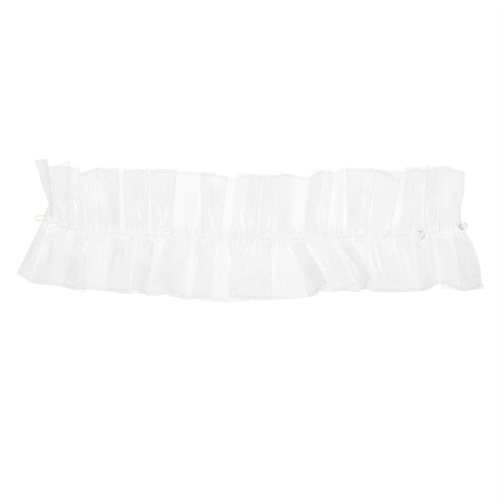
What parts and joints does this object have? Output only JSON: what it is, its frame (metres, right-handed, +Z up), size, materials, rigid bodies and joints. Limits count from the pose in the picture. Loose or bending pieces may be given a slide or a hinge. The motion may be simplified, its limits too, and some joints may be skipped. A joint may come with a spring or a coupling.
{
  "type": "detachable ruffled collar",
  "caption": "Detachable collar of sheer organza, gathered along its middle into two pleated ruffles, with a thread loop at one end and clear buttons at the other, laid flat.",
  "frame": {"origin": "middle of the collar's box, on the surface that it lies on", "axes": "+X along the collar towards the buttons, +Y across it towards the straighter hem, +Z up from the surface"},
  "size_m": [0.4385, 0.1341, 0.0099],
  "materials": {
    "organza": "sheer white organza, softly shiny",
    "loop_thread": "white twisted thread, matt",
    "clear_plastic": "clear, polished facets"
  },
  "bodies": {
    "root": {"ruffle": "organza", "button_loop": "loop_thread", "end_button": "clear_plastic", "inner_button": "clear_plastic"}
  },
  "joints": []
}
